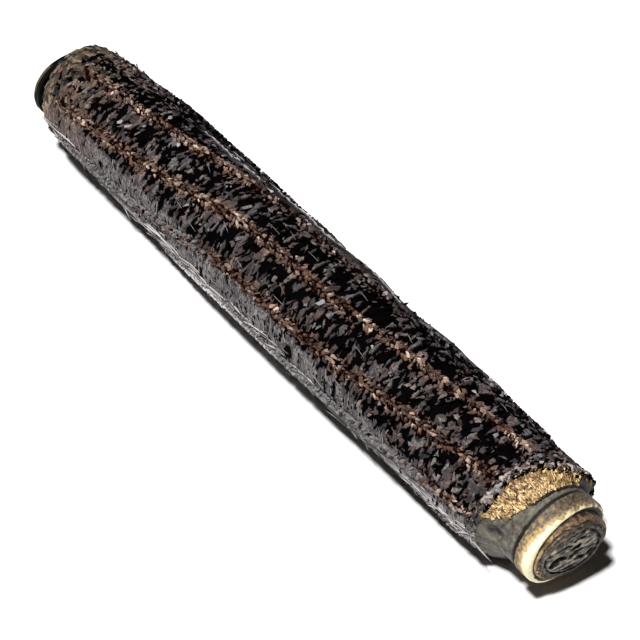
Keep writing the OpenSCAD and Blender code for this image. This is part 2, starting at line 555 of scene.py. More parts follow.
def make_many(add_shape, count):
    bm = new_mesh()
    add_shape(bm)
    whole = len(bm.verts) * count
    while len(bm.verts) < whole:
        bmesh.ops.duplicate(bm, geom=bm.verts[:] + bm.edges[:] + bm.faces[:])
    groups = list(islands(bm))
    spare = [vert for group in groups[count:] for vert in group]
    bmesh.ops.delete(bm, geom=spare, context="VERTS")
    return bm, groups[:count]


trial_mesh, trial_plates = make_many(add_plate, 3)
print(len(trial_plates), "plates have", len(trial_mesh.faces), "faces")
trial_mesh.free()


# %% [markdown]
# A copy is laid by its length, width and thickness, which are drawn from ranges in millimetres. Its corners
# are pulled in and out at random, so that no two flakes have the same outline. It can lift at one end and
# curl up at both.

# %% Laying a small shape on a surface
black_tone = -0.2
black_look = (black_tone, 0.0)


def drawn(rng, limits):
    low, high = limits
    return low if low == high else rng.uniform(low, high)


def size_in(rng, ranges):
    return tuple(drawn(rng, limits) * mm for limits in ranges)


def lay(bm, verts, place, along, outward, size, look, rng, lift=0.0, curl=0.0, ragged=0.28):
    tone_of, warm_of = look_layers(bm)
    length, width, thickness = size
    across = outward.cross(along).normalized()
    forward = along * math.cos(lift) + outward * math.sin(lift)
    upward = forward.cross(across)
    if upward.dot(outward) < 0:
        upward.negate()
    stretch = [rng.uniform(1 - ragged, 1 + ragged) for _ in range(plate_sides)]
    for vert in verts:
        v, u, w = vert.co
        corner = stretch[round(math.atan2(v, u) / math.tau * plate_sides) % plate_sides]
        u, v = u * corner, v * corner
        raised = w * thickness / 2 + curl * length * u * u
        vert.co = kept(place + forward * (u * length / 2) + across * (v * width / 2) + upward * raised)
        vert[tone_of], vert[warm_of] = look


def join(bm, other):
    data = bpy.data.meshes.new("joined")
    other.to_mesh(data)
    other.free()
    bm.from_mesh(data)
    bpy.data.meshes.remove(data)


# %% Turning a mesh into a piece of the stick
def add_piece(bm, name, node, finish):
    data = bpy.data.meshes.new(name)
    bm.to_mesh(data)
    bm.free()
    data.materials.append(finish)
    piece = bpy.data.objects.new(name, data)
    bpy.context.scene.collection.objects.link(piece)
    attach(piece, "root")
    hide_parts(node)
    data.calc_loop_triangles()
    print(name, "has", len(data.loop_triangles), "triangles")


# %% [markdown]
# ## The near end's lines
# The cover doesn't stop on a neat ring. Its torn edge runs at a slant, and so does the lower edge of the
# golden band, until the two meet and leave a bare patch of grey skin. Three short tables give those lines
# and the neck's radius, in millimetres by angle in degrees, and one function joins them to a surface.

# %% Lines of the near end
cover_edge = ((-180, 55.4), (-120, 56.2), (-70, 57.0), (-48, 56.8), (-29, 55.5), (-7, 53.6), (11, 52.6),
              (28, 52.2), (52, 52.2), (76, 52.0), (110, 51.6), (150, 53.4), (180, 55.4))
gold_edge = ((-180, 55.4), (-120, 56.2), (-70, 57.0), (-48, 56.9), (-29, 56.6), (3, 56.3), (31, 56.0),
             (50, 54.8), (60, 53.4), (66, 52.2), (76, 52.0), (110, 51.6), (150, 53.4), (180, 55.4))
neck_radius = ((-180, 6.9), (-110, 7.1), (-60, 7.3), (-20, 6.95), (30, 6.8), (60, 7.0), (100, 7.0),
               (140, 6.85), (180, 6.9))
bare_end = 55.2 * mm
gold_step = 0.4 * mm
gold_step_width = 2 * mm
least_slope = 0.1 * mm
top_fall = 0.85
front_fall = 0.60


def torn_at(angle):
    return from_table(cover_edge, angle)


def gold_at(angle):
    return from_table(gold_edge, angle)


def near_lines(angle):
    gold = gold_at(angle)
    return torn_at(angle), gold, max(gold, bare_end)


def near_r(x, angle):
    torn, gold, end = near_lines(angle)
    neck = from_table(neck_radius, angle)
    seat = band_r + swell(x_cover_end, angle)
    share = min(1.0, max(0.0, (x - torn) / max(end - torn, least_slope)))
    if share >= 1.0:
        return neck
    edge = neck + gold_step * min(1.0, (gold - torn) / gold_step_width)
    fall = top_fall + (front_fall - top_fall) * fade(turn_of(angle), 70, 100)
    return seat + (edge - seat) * share**fall


for degrees in (-60, 0, 30, 90):
    torn, gold, end = near_lines(math.radians(degrees))
    print(degrees, "degrees: torn edge", round(torn / mm, 1), "gold ends", round(gold / mm, 1), "mm")

# %% [markdown]
# ## Cover strips
# The hide of the cover isn't the same all round. Towards the front it is rubbed smooth, and there it is
# painted light grey as a painted sheen, the reflection of the white table, with a painted reflection along
# its lower edge. On the far side it lies in folds, in between it is black and flaking, and towards the far
# end it turns brown. Four functions give these shares for a place, so the sheet, its flakes and the cords
# all follow the same wear and the same painted sheen.

# %% Where the cover is rubbed with a painted sheen, painted pale below, brown or folded
folded_from = ((-57, -60), (-38, -32), (-28, -18), (0, -20), (12, -36), (25, -46), (51, -48))
rub_sheen_from = ((-57, 58), (5, 59), (20, 63), (30, 67), (42, 74), (51, 76))
rub_sheen_reach = 10
fold_reach = 12
reflection_from = 101
reflection_climb = 11
reflection_reach = 8
rub_sheen_end = (136, 124)
reflection_end = (128, 120)
fold_end = (-90, -70)
near_stretch = (22 * mm, 38 * mm)
far_stretch = (-15 * mm, -35 * mm)
brown_stretch = (-36 * mm, -54 * mm)


# Rubbed smooth towards the front, and there painted light grey as a painted sheen of the white table.
def rub_and_sheen(x, angle):
    turn = turn_of(angle)
    start = read_table(rub_sheen_from, x / mm)
    return fade(turn, start, start + rub_sheen_reach) * fade(turn, *rub_sheen_end)


# Paler tone towards the lower edge: a painted reflection of the white table, and painted light on lower
# faces the lamp barely reaches.
def painted_reflection_below(x, angle):
    turn = turn_of(angle)
    near = fade(x, *near_stretch)
    gain = 0.28 + 0.08 * near + 0.12 * fade(x, *far_stretch)
    start = reflection_from - reflection_climb * near
    return gain * fade(turn, start, start + reflection_reach) * fade(turn, *reflection_end)


def far_brown(x):
    return fade(x, *brown_stretch)


def folded(x, angle):
    turn = turn_of(angle)
    start = read_table(folded_from, x / mm)
    return fade(turn, start, start - fold_reach) * fade(turn, *fold_end)


print("rubbed at 80 degrees:", round(rub_and_sheen(0.0, math.radians(80)), 2))

# %% [markdown]
# Hide that dries out splits into cells, and some of the cells fall away. A cell pattern stretched across
# the strip gives each flake its own edge, tone and lean. More than half of the cells are missing on the
# top, and their pits stay black. The folds are a wave round the stick, bent by slower waves along it.

# %% Cells and folds
flake_width = 0.90 * mm
flake_length = 2.10 * mm
fold_pitch = 0.36 * mm
cell_bend = (1.3, 1.7, 3.1)
cell_sway = (0.7, 1.1, 7.7)
cell_jag = (0.34, 0.45, 1.9)
fold_jag = (0.9, 0.8, 6.0)


def cell_chance(point):
    # The fraction of a large sine is as good as random, and the same at every run.
    return math.sin(point.x * 127.1 + point.y * 311.7) * 43758.5 % 1.0


def hide_cell(x, round_by):
    bend = stretched_noise(x, round_by, cell_bend)
    sway = stretched_noise(x, round_by, cell_sway)
    jag = stretched_noise(x, round_by, cell_jag)
    along = x / flake_width + 0.55 * bend + 0.2 * jag
    across = round_by / flake_length + 0.4 * sway + 0.12 * jag
    place = Vector((along, across, 0.0))
    distances, points = noise.voronoi(place)
    return distances[1] - distances[0], cell_chance(points[0]), place.x - points[0].x


def fold_crest(x, round_by):
    sway = 1.3 * math.sin(x / (4.1 * mm)) + 0.8 * math.sin(x / (1.7 * mm))
    jag = stretched_noise(x, round_by, fold_jag)
    turn = round_by / fold_pitch + sway + 1.5 * jag
    return (0.7 * math.sin(turn) + 0.4 * math.sin(2.3 * turn + sway)) * (0.85 + 0.5 * jag)


print("gap, chance and lean of a cell at mid-length:", [round(value, 2) for value in hide_cell(0.0, 0.0)])


# %% Height and tone of flaked hide
missing_share = 0.58
top_missing = 0.20
patch_missing = 0.3
rub_sheen_missing = 0.03
flake_rise = 0.08
flake_lean = 0.12
pit_depth = 0.24
edge_gap = 0.07
reflection_strand = (5.0, 0.28, 8.0)


def flaked_hide(x, angle, patch):
    round_by = angle * lining_mid_r
    gap, chance, lean_by = hide_cell(x, round_by)
    rub_sheen = rub_and_sheen(x, angle)
    top_share = missing_share + top_missing * fade(turn_of(angle), 30, 0) - patch_missing * patch
    if chance < top_share * (1 - rub_sheen) + rub_sheen_missing * rub_sheen:
        rise, tone = -pit_depth, black_tone
    else:
        rise = flake_rise + flake_lean * lean_by
        # Where rubbed, the tone is a light grey painted sheen, and the paler edge below is a painted
        # reflection.
        reflection_edge = painted_reflection_below(x, angle) * (0.4 + 0.9 * stretched_noise(x, round_by, reflection_strand))
        rub_sheen_tone = 0.51 - 0.03 * far_brown(x) + 0.10 * chance + 0.08 * patch + reflection_edge
        tone = (0.14 + 0.42 * chance) * (1 - rub_sheen) + rub_sheen_tone * rub_sheen
    if gap < edge_gap:
        tone -= 0.2 - 0.14 * rub_sheen
    return rise * (1 - 0.75 * rub_sheen), tone


# %% Height and tone of folded hide, and of both together
fold_rise = 0.20
crest_light_far_end = (-40 * mm, -28 * mm)
crest_light_near_end = (24 * mm, 14 * mm)
crest_light_back = (-68, -54)
hide_patch = (2.6, 4.0, 5.0)


def folded_hide(x, angle, patch):
    crest = fold_crest(x, angle * lining_mid_r)
    # The fold crests are painted lighter as a painted highlight, most of all on a stretch of the far side.
    paler_by = fade(x, *crest_light_far_end) * fade(x, *crest_light_near_end) * fade(turn_of(angle), *crest_light_back)
    return fold_rise * crest, 0.18 + 0.20 * patch + (0.40 + 0.45 * paler_by) * max(0.0, crest) ** 1.3


def hide_at(x, angle):
    patch = stretched_noise(x, angle * lining_mid_r, hide_patch)
    fold = folded(x, angle)
    rise, tone = flaked_hide(x, angle, patch)
    fold_by, fold_tone = folded_hide(x, angle, patch)
    return (rise * (1 - fold) + fold_by * fold) * mm, tone * (1 - fold) + fold_tone * fold


print("tone of the hide at 0, 40 and 80 degrees:",
      [round(hide_at(0.0, math.radians(degrees))[1], 2) for degrees in (0, 40, 80)])


# %% [markdown]
# The sheet of a strip is a grid wrapped on the stick between two seams. A bump in the material could draw
# the flakes, but it would leave a smooth outline. So each point of the grid is moved by the pattern, and
# the sheet then gets its thickness inwards, which makes it a closed shell. It turns tan along its edges
# and towards the far end.

# %% Radius and warmth of a strip
strip_puff = 0.25 * mm


def strip_top(k, x, across):
    angle = seam_angle(k, x) + seam_pitch / 2 + across * strip_half(x)
    if x > x_cover_end:
        return near_r(x, angle), angle
    puff = strip_puff * (1 - across * across)
    return lining_at(x) + fit + strip_thickness + puff + swell(x, angle), angle


def hide_warmth(x, across, angle, place, tone):
    edge_brown = 0.5 * fade(abs(across), 0.7, 1.0)
    brown = 0.12 + 0.25 * far_brown(x) + 0.5 * wobble(place, 2.0 * mm) + edge_brown
    if tone < 0.0:
        brown *= 0.3
    # Under the painted sheen the warm brown gives way to grey.
    rub_sheen = rub_and_sheen(x, angle)
    tan = 0.32 * far_brown(x) * rub_sheen
    return min(1.0, max(0.0, brown)) * (1 - rub_sheen) * (1 - folded(x, angle)) + tan


print("strip 1 has a radius of", round(strip_top(1, x_mid, 0.0)[0] / mm, 2), "mm in its middle")


# %% The sheet of a strip
sheet_sink = 0.20 * mm
sheet_thickness = 0.75 * mm
sheet_columns = 640
sheet_rows = 44


def make_sheet(k):
    bm = new_mesh()
    tone_of, warm_of = look_layers(bm)
    bmesh.ops.create_grid(bm, x_segments=sheet_columns, y_segments=sheet_rows, size=1.0)
    for vert in bm.verts:
        x = x_mid + vert.co.x * cover_length / 2
        across = vert.co.y
        top, angle = strip_top(k, x, across)
        rise, tone = hide_at(x, angle)
        vert.co = on_stick(x, top + rise - sheet_sink, angle)
        vert[tone_of] = tone
        vert[warm_of] = hide_warmth(x, across, angle, vert.co, tone)
    bm.normal_update()
    bm.faces.ensure_lookup_table()
    outward, _ = directions_at(polar(bm.faces[0].calc_center_median())[2])
    if bm.faces[0].normal.dot(outward) < 0:
        bmesh.ops.reverse_faces(bm, faces=bm.faces[:])
    bmesh.ops.solidify(bm, geom=bm.faces[:], thickness=sheet_thickness)
    return bm


# %% [markdown]
# Some flakes have come loose and stand up, and their lifted edges catch the light. Those are real small
# plates, strewn over the sheet but kept off the folds. Where the hide is rubbed and painted with sheen they
# turn into fine pale and dark strokes, and into long strands painted pale along the lower edge as a painted
# reflection of the table.

# %% Strokes on rubbed hide with its painted sheen
stroke_size = ((0.9, 2.4), (0.08, 0.18), (0.12, 0.12))
stroke_tones = (0.68, 0.62, 0.58, 0.54)
stroke_sink = 0.15 * mm
dark_stroke_size = ((0.4, 1.0), (0.14, 0.28), (0.20, 0.20))
strand_size = ((2.5, 6.0), (0.10, 0.20), (0.18, 0.18))


def rub_sheen_stroke(x, angle, rng):
    turn = turn_of(angle)
    brown = far_brown(x)
    size = size_in(rng, stroke_size)
    slant = rng.gauss(0.35, 0.22)
    # Pale strokes carry the painted sheen and the painted reflection below.
    look = (rng.choice(stroke_tones) - 0.08 * brown + painted_reflection_below(x, angle), 0.3 * brown)
    if rng.random() < 0.42 - 0.22 * brown - 0.2 * fade(turn, 96, 106):
        size = size_in(rng, dark_stroke_size)
        look = black_look
    # Long pale strands near the lower edge are a painted reflection.
    elif turn > 90 and rng.random() < 0.6:
        size = size_in(rng, strand_size)
        slant = math.pi / 2 + rng.gauss(0.15, 0.2)
        look = (rng.uniform(0.7, 0.9), 0.0)
    return size, slant, look, -stroke_sink, 0.0


# %% Flakes on dry hide
dry_size = ((0.7, 1.7), (0.35, 0.85), (0.10, 0.18))
dry_tones = (0.2, 0.3, 0.4, 0.48, 0.56)
dry_warmths = (0.0, 0.1, 0.25)
seam_side = 0.8


def dry_flake(x, angle, across, rng):
    size = size_in(rng, dry_size)
    slant = rng.gauss(0.05, 0.45)
    rise = rng.uniform(-0.15, 0.05) * mm
    lift = math.radians(rng.uniform(0, 26))
    beside_seam = abs(across) > seam_side
    warm = rng.uniform(0.1, 0.7) if beside_seam else rng.choice(dry_warmths) + 0.25 * far_brown(x)
    bare = 0.34 + 0.26 * fade(turn_of(angle), 25, -5)
    look = black_look if rng.random() < bare else (rng.choice(dry_tones), warm)
    if rng.random() < 0.02:
        look = (rng.uniform(0.6, 0.8), 0.0)
    return size, slant, look, rise, lift


# %% Laying the loose flakes
flake_count = 600
across_most = 0.97
fold_clear = 0.93
curl_most = 0.08


def flake_place(k, rng):
    while True:
        across = rng.uniform(-across_most, across_most)
        end_angle = seam_angle(k, x_cover_end) + (1 + across) * seam_pitch / 2
        end = max(torn_at(end_angle), x_cover_end)
        x = x_cover + rng.random() * (end - x_cover)
        top, angle = strip_top(k, x, across)
        if rng.random() > fold_clear * folded(x, angle):
            return x, top, angle, across


def make_flakes(k, rng):
    bm, flakes = make_many(add_plate, flake_count)
    for verts in flakes:
        x, top, angle, across = flake_place(k, rng)
        outward, round_way = directions_at(angle)
        # Where the painted sheen lies, a flake becomes a stroke.
        if rng.random() < rub_and_sheen(x, angle):
            size, slant, look, rise, lift = rub_sheen_stroke(x, angle, rng)
        else:
            size, slant, look, rise, lift = dry_flake(x, angle, across, rng)
        along = slanted(round_way, slant)
        tilted = (outward + Vector((rng.gauss(0.15, 0.2), 0, 0))).normalized()
        curl = rng.uniform(0, curl_most)
        place = on_stick(x, top + rise, angle)
        lay(bm, verts, place, along, tilted, size, look, rng, lift, curl, ragged=0.75)
    return bm


# %% [markdown]
# A few fine pale hairs lie along the top strips. Each is one of the small lumps again, drawn out long and
# thin and bent a little, so that its ends dip into the hide. A strip is then its sheet, its flakes and its
# hairs, joined in one mesh.

# %% Hairs caught on the top strips
hair_strips = {1: 7, 2: 8, 3: 9}
hair_size = ((2.0, 3.4), (0.075, 0.075), (0.08, 0.08))
hair_rise = 0.14 * mm
hair_look = (0.68, 0.0)


def make_hairs(k, rng):
    bm, hairs = make_many(add_lump, hair_strips[k])
    for verts in hairs:
        x = rng.uniform(x_cover * 0.6, x_cover_end * 0.9)
        top, angle = strip_top(k, x, rng.uniform(-0.7, 0.7))
        outward, round_way = directions_at(angle)
        along = (Vector((1, 0, 0)) + round_way * rng.gauss(0.2, 0.15)).normalized()
        size = size_in(rng, hair_size)
        place = on_stick(x, top + hair_rise, angle)
        lay(bm, verts, place, along, outward, size, hair_look, rng, curl=-0.03)
    return bm


# %% The strips
strip_seed = 100


def make_strip(k):
    rng = random.Random(strip_seed + k)
    bm = make_sheet(k)
    join(bm, make_flakes(k, rng))
    if k in hair_strips:
        join(bm, make_hairs(k, rng))
    add_piece(bm, f"flaked_strip_{k}", f"cover_strip_{k}", hide_finish)


for k in range(1, seam_count + 1):
    make_strip(k)


# %% [markdown]
# ## Seam cords
# A seam is a braid that has worn pale on top. A cylinder is cut into rings and moved on to the seam's line,
# which gives the dark body of the cord. It sinks at both ends, where the bands hold it down.

# %% The body of a cord
cord_fade = 5 * mm
cord_end_scale = 0.55
body_scale = 0.74
body_sides = 10
body_cuts = 130


def cord_place(k, x, turn, scale):
    end_gap = min(x - x_cover, x_cover_end - x)
    rise_scale = cord_end_scale + (1 - cord_end_scale) * fade(end_gap, 0, cord_fade)
    rise = lining_at(x) + fit + cord_height / 2 * (1 + scale * math.cos(turn)) * rise_scale
    side = cord_width / 2 * scale * math.sin(turn)
    angle = seam_angle(k, x) + math.atan2(side, rise)
    return on_stick(x, math.hypot(rise, side) + swell(x, angle), angle), angle


def make_cord_body(k):
    bm = new_mesh()
    tone_of, _ = look_layers(bm)
    bmesh.ops.create_cone(bm, segments=body_sides, radius1=1.0, radius2=1.0, depth=2.0, cap_ends=True)
    long_edges = [e for e in bm.edges if abs(e.verts[0].co.z - e.verts[1].co.z) > 1.0]
    bmesh.ops.subdivide_edges(bm, edges=long_edges, cuts=body_cuts)
    for vert in bm.verts:
        x = x_mid + vert.co.z * cover_length / 2
        vert.co, angle = cord_place(k, x, math.atan2(vert.co.y, vert.co.x), body_scale)
        # Grey where rubbed, as a painted sheen, and paler below as a painted reflection.
        vert[tone_of] = 0.68 * rub_and_sheen(x, angle) - 0.1 + painted_reflection_below(x, angle)
    bmesh.ops.recalc_face_normals(bm, faces=bm.faces[:])
    for face in bm.faces:
        face.smooth = True
    return bm


# %% [markdown]
# The thread shows as three rows of thick stitches, the outer two slanted like a braid, with loose bits of
# thread between them. Where the seam runs on the top of the stick the thread is tan, and towards the sides
# it is as grey as the hide. A few stretches are worn paler, each given by its seam, place, reach and gain.

# %% The colour of a stitch
worn_length = 3.2 * mm
rub_sheen_tones = (0.52, 0.62)
pale_knots = (
    (1, -40, 1.3, 0.35),
    (2, 48.5, 2.6, 0.26),
    (2, -20, 8.0, 0.12),
    (2, 30, 6.0, 0.08),
    (1, -10, 4.0, 0.10),
)


def tan_share(angle):
    turn = turn_of(angle)
    return fade(turn, -40, -16) * fade(turn, 100, 75)


def knot_gain(k, x):
    here = (knot[1:] for knot in pale_knots if knot[0] == k)
    return sum(gain * math.exp(-(((x / mm - at) / reach) ** 2)) for at, reach, gain in here)


def stitch_look(k, x, angle, rng):
    tan = tan_share(angle)
    # In the rubbed zone the stitches take the light grey painted sheen and the painted reflection below.
    if rng.random() < rub_and_sheen(x, angle) - 0.5 * tan:
        return rng.uniform(*rub_sheen_tones) + painted_reflection_below(x, angle), 0.0
    paler_by = noise.noise(Vector((x / worn_length, k * 3.1, 0.0)))
    if rng.random() < 0.36 - 0.30 * paler_by + 0.5 * folded(x, angle):
        return rng.uniform(-0.2, 0.25), 0.9 * tan
    tone = rng.gauss(0.44 + 0.24 * paler_by + knot_gain(k, x), 0.15)
    return min(1.0, max(0.1, tone)), tan * rng.uniform(0.35, 1.0)


print("seam 1 is paler by", round(knot_gain(1, -40 * mm), 2), "at its far knot")


# %% The stitches of a cord
stitch_rows = (-0.85, 0.0, 0.85)
stitch_pitch = 0.72 * mm
row_stitches = int(cover_length / stitch_pitch)
stitch_scale = 0.88
stitch_size = ((0.75, 1.25), (0.45, 0.70), (0.26, 0.40))
loose_count = 260
loose_size = ((0.35, 0.75), (0.22, 0.38), (0.25, 0.40))


def lay_stitch(bm, verts, k, x, turn, slant, size, rng):
    place, angle = cord_place(k, min(max(x, x_cover), x_cover_end), turn, stitch_scale)
    outward, round_way = directions_at(angle)
    along = slanted(round_way, slant)
    lift = math.radians(rng.uniform(-8, 16))
    lay(bm, verts, place, along, outward, size, stitch_look(k, x, angle, rng), rng, lift, ragged=0.65)


def make_stitches(k, rng):
    bm, stitches = make_many(add_plate, row_stitches * len(stitch_rows) + loose_count)
    for number, verts in enumerate(stitches[loose_count:]):
        step, row = divmod(number, len(stitch_rows))
        x = x_cover + (step + row / len(stitch_rows) + rng.uniform(-0.25, 0.25)) * stitch_pitch
        turn = stitch_rows[row] + rng.gauss(0.0, 0.14)
        slant = math.radians(90 - 48 * stitch_rows[row] + rng.gauss(0, 14))
        lay_stitch(bm, verts, k, x, turn, slant, size_in(rng, stitch_size), rng)
    for verts in stitches[:loose_count]:
        x = rng.uniform(x_cover, x_cover_end)
        size = size_in(rng, loose_size)
        lay_stitch(bm, verts, k, x, rng.gauss(0.0, 0.8), rng.uniform(0, math.pi), size, rng)
    return bm


print("each cord has", row_stitches * len(stitch_rows) + loose_count, "stitches and loose bits")


# %% [markdown]
# Much of what follows is strewn: a shape is made many times, and each copy settles at a random place with a
# random size and look. One function does that for the flakes here and for the fibre of both bands.
#
# The hide beside a seam has crept up on the thread, so nowhere does a straight dark gap show. Flakes of
# both colours are strewn from the strip on to the flank of the cord.

# %% Strewing small shapes
def strew(add_shape, count, settle, sizes, look_of, rng, lifts=(0, 0), ragged=0.65):
    bm, bits = make_many(add_shape, count)
    for verts in bits:
        x, angle, (place, along, upward) = settle(rng)
        size = size_in(rng, sizes)
        look = look_of(x, angle, rng)
        lay(bm, verts, place, along, upward, size, look, rng, drawn(rng, lifts), ragged=ragged)
    return bm


# %% Flakes on the flanks of a cord
side_count = 340
side_scale = 1.15
side_size = ((0.8, 1.7), (0.35, 0.75), (0.14, 0.24))
side_tones = (black_tone, black_tone, 0.25, 0.35, 0.45, 0.55)
side_warmths = (0.1, 0.4, 0.9)
side_lifts = (math.radians(-15), math.radians(20))


def side_look(x, angle, rng):
    look = (rng.choice(side_tones), tan_share(angle) * rng.choice(side_warmths))
    if rng.random() < 0.8 * folded(x, angle):
        look = (rng.uniform(-0.2, 0.2), 0.0)
    # Under the painted sheen the flank flakes turn light grey.
    if rng.random() < rub_and_sheen(x, angle):
        look = (rng.uniform(*rub_sheen_tones) + painted_reflection_below(x, angle), 0.0)
    return look


def make_side_flakes(k, rng):
    def settle(rng):
        x = rng.uniform(x_cover, x_cover_end)
        turn = rng.choice((-1, 1)) * rng.uniform(1.0, 1.75)
        place, angle = cord_place(k, x, turn, side_scale)
        outward, round_way = directions_at(angle)
        return x, angle, (place, slanted(round_way, rng.gauss(0.0, 0.5)), outward)

    return strew(add_plate, side_count, settle, side_size, side_look, rng, side_lifts, ragged=0.7)


# %% The cords
cord_seed = 200


def make_cord(k):
    rng = random.Random(cord_seed + k)
    bm = make_cord_body(k)
    join(bm, make_stitches(k, rng))
    join(bm, make_side_flakes(k, rng))
    add_piece(bm, f"braided_cord_{k}", f"seam_cord_{k}", braid_finish)


for k in range(1, seam_count + 1):
    make_cord(k)


# %% [markdown]
# ## Turned pieces
# The ends are all turned shapes: bands, sleeve, rings and the layers of the bar. Each starts as an outline
# of a few points, which is cut finer and spun round the axis. Then a small function moves its points, so
# that no edge stays as true as it came off the lathe.

# %% Spinning an outline round the axis
merge_gap = 1e-7
bore_margin = 0.1 * mm


def lathe(outline, step, turns, fine_from=-1.0, closed=True):
    bm = new_mesh()
    verts = [bm.verts.new((x, 0.0, axis_z + r)) for r, x in outline]
    ends = verts[1:] + verts[:1] if closed else verts[1:]
    edges = [bm.edges.new(pair) for pair in zip(verts, ends)]
    for edge in edges:
        cuts = int(edge.calc_length() / step)
        if cuts and min(vert.co.x for vert in edge.verts) >= fine_from:
            bmesh.ops.subdivide_edges(bm, edges=[edge], cuts=cuts)
    bmesh.ops.spin(bm, geom=bm.verts[:] + bm.edges[:], cent=(0, 0, axis_z), axis=(1, 0, 0),
                   angle=math.tau, steps=turns, use_merge=True)
    bmesh.ops.remove_doubles(bm, verts=bm.verts[:], dist=merge_gap)
    bmesh.ops.recalc_face_normals(bm, faces=bm.faces[:])
    for face in bm.faces:
        face.smooth = True
    return bm


def reshape(bm, move):
    tone_of, warm_of = look_layers(bm)
    for vert in bm.verts:
        x, r, angle = polar(vert.co)
        x, r, vert[tone_of], vert[warm_of] = move(x, r, angle, vert.co)
        vert.co = on_stick(x, r, angle)
    return bm


# %% [markdown]
# The near band is a sleeve of matted fibre that tapers from the cover to the neck. It could be cut along
# its slanting lines, but a turned base that is pushed to those lines stays one closed skin. It is golden
# between the torn edge and the gold's lower edge, and bare grey skin below, with a hollow pressed into it
# at the front. The hollow is painted dark inside as painted shade, with a painted highlight round its rim.

# %% Near band: its base
band_bore = sleeve_r + fit
x_band_seat = x_cover_end - 0.3 * mm
dimple_x, dimple_angle = 53.9 * mm, math.radians(78)
dimple_length, dimple_breadth = 1.35 * mm, math.radians(8.5)
dimple_depth = 0.65 * mm
skin_bumps = 0.07 * mm
skin_dip = 0.25 * mm


def dimple(x, angle):
    gap = ((x - dimple_x) / dimple_length) ** 2 + ((angle - dimple_angle) / dimple_breadth) ** 2
    return math.exp(-gap * gap)


def skin_tone_and_hollow_shade(x, angle, place):
    mottle = 0.25 * wobble(place, 1.0 * mm) + 0.30 * wobble(place, 0.4 * mm)
    hollow = dimple(x, angle)
    # Darker inside the hollow as painted shade, lighter round its rim as a painted highlight.
    return 0.46 + mottle - 0.40 * hollow + 0.8 * hollow * (1 - hollow)


def shape_near_band(x, r, angle, place):
    torn, gold, end = near_lines(angle)
    share = (x - x_band_seat) / (x_band_edge - x_band_seat)
    x = x_band_seat + share * (end - x_band_seat)
    golden = fade(x, torn, torn + 0.4 * mm) * fade(x, gold, gold - 0.3 * mm)
    tone = skin_tone_and_hollow_shade(x, angle, place) * (1 - 0.3 * golden)
    # Under the torn edge the base is painted black, as painted shade.
    if x < torn - 0.1 * mm:
        tone = black_tone
    if r < band_bore + bore_margin:
        return x, r, tone, golden
    dip = skin_dip * fade(x, end - 0.5 * mm, end) * (gold < end)
    top = near_r(min(x, end - 0.01 * mm), angle) - dimple_depth * dimple(x, angle) - dip
    return x, top + skin_bumps * wobble(place, 0.7 * mm), tone, golden


band_outline = [(band_bore, x_band_seat), (band_r, x_band_seat), (band_r, x_band_edge),
                (band_bore, x_band_edge)]
band_bm = reshape(lathe(band_outline, step=0.2 * mm, turns=220), shape_near_band)
print("the band's base has", len(band_bm.faces), "faces")


# %% [markdown]
# On that base lie golden tufts of fibre, a torn edge of thick grey scraps with dark hide behind it and
# black plates under it as a painted shadow, and the dark dashes where the gold stops on the skin. They are
# strewn on the slope. Some settle beside one of the lines, others anywhere between two of them.

# %% Settling on the near end
slope_step = 0.3 * mm
steepest = math.radians(50)


def on_near_end(x, angle, rise, drift):
    slope = math.atan2(near_r(x, angle) - near_r(x + slope_step, angle), slope_step)
    slope = min(slope, steepest)
    outward, round_way = directions_at(angle)
    onward = Vector((math.cos(slope), 0, 0)) - outward * math.sin(slope)
    along = (onward * math.cos(drift) + round_way * math.sin(drift)).normalized()
    upward = outward * math.cos(slope) + Vector((math.sin(slope), 0, 0))
    return on_stick(x, near_r(x, angle) + rise, angle), along, upward


def pick_between(rng, reach, first, last):
    while True:
        angle = rng.uniform(-math.pi, math.pi)
        start, end = first(angle), last(angle)
        if rng.random() * reach < end - start:
            return start + (end - start) * rng.random(), angle


def settle_beside(line, angles, offsets, rise, spread):
    def settle(rng):
        angle = math.radians(rng.uniform(*angles))
        x = line(angle) + rng.uniform(*offsets) * mm
        return x, angle, on_near_end(x, angle, rise * mm, math.pi / 2 + rng.gauss(0.0, spread))

    return settle


def settle_between(reach, first, last, rise, drift):
    def settle(rng):
        x, angle = pick_between(rng, reach * mm, first, last)
        return x, angle, on_near_end(x, angle, rise * mm, drift + rng.gauss(0.0, 0.45))

    return settle


# %% The golden band with its tufts and dashes
tuft_count = 2400
tuft_size = ((0.6, 1.3), (0.18, 0.42), (0.14, 0.26))
dash_count = 80
dash_size = ((0.6, 1.5), (0.25, 0.5), (0.15, 0.15))
band_seed = 301
band_rng = random.Random(band_seed)


def tuft_look(x, angle, rng):
    torn, gold, _ = near_lines(angle)
    down = (x - torn) / (gold - torn)
    patch = noise.noise(Vector((x / (0.6 * mm), angle * 10.0, 0.0)))
    tone = min(1.0, max(0.0, rng.gauss(0.38 + 0.24 * down + 0.50 * patch, 0.25)))
    return (0.02 if rng.random() < 0.12 else tone), 1.0


def dash_look(x, angle, rng):
    return -0.1, 0.1


on_gold = settle_between(5, torn_at, gold_at, 0.03, 0.0)
under_gold = settle_beside(gold_at, (-80, 22), (0.15, 0.45), 0.16, 0.25)
tuft_lifts = (0, math.radians(14))
join(band_bm, strew(add_lump, tuft_count, on_gold, tuft_size, tuft_look, band_rng, tuft_lifts, ragged=0.28))
join(band_bm, strew(add_plate, dash_count, under_gold, dash_size, dash_look, band_rng, ragged=0.6))
add_piece(band_bm, "golden_band", "near_band", golden_finish)

